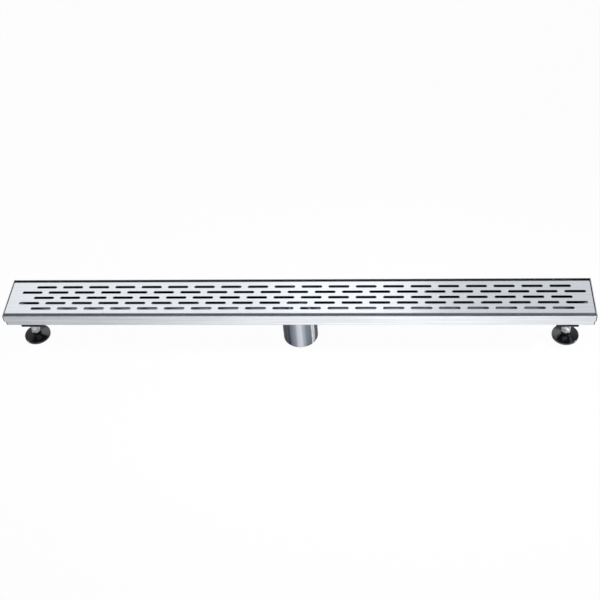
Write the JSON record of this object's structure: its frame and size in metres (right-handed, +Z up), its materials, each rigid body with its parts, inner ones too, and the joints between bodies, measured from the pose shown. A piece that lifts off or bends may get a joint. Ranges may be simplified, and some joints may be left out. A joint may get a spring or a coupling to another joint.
{
  "type": "linear shower drain",
  "caption": "Long narrow shower floor drain: a slotted folded grate rests in a stepped steel channel with a round outlet pipe below and height-adjustable feet near its ends.",
  "frame": {"origin": "on the floor that the feet stand on, under the middle of the channel", "axes": "+X along the drain to its right end, +Y across it to the back, +Z up"},
  "size_m": [0.895, 0.078, 0.0873],
  "materials": {
    "grate_steel": "satin stainless sheet, brushed along the length",
    "channel_steel": "pressed stainless sheet with a fine mill grain",
    "pipe_steel": "bright drawn stainless",
    "bright_fastener": "bright machined fasteners",
    "black_strip": "black coated steel strip",
    "black_plastic": "black moulded plastic with a soft sheen"
  },
  "bodies": {
    "drain": {"channel": "channel_steel", "outlet_pipe": "pipe_steel", "hair_strainer": "pipe_steel", "grate": "grate_steel", "left_bracket": "black_strip", "right_bracket": "black_strip", "lower_washers": "bright_fastener", "upper_washers": "bright_fastener", "height_nuts": "bright_fastener", "jam_nuts": "bright_fastener", "top_nuts": "bright_fastener"},
    "left_leg": {"left_stud": "bright_fastener", "left_foot": "black_plastic"},
    "right_leg": {"right_stud": "bright_fastener", "right_foot": "black_plastic"}
  },
  "joints": [
    {"name": "left_leg_height", "type": "slide", "parent": "drain", "child": "left_leg", "axis": [0, 0, -1], "range_m": [-0.005, 0.008]},
    {"name": "right_leg_height", "type": "slide", "parent": "drain", "child": "right_leg", "axis": [0, 0, -1], "range_m": [-0.005, 0.008]}
  ]
}
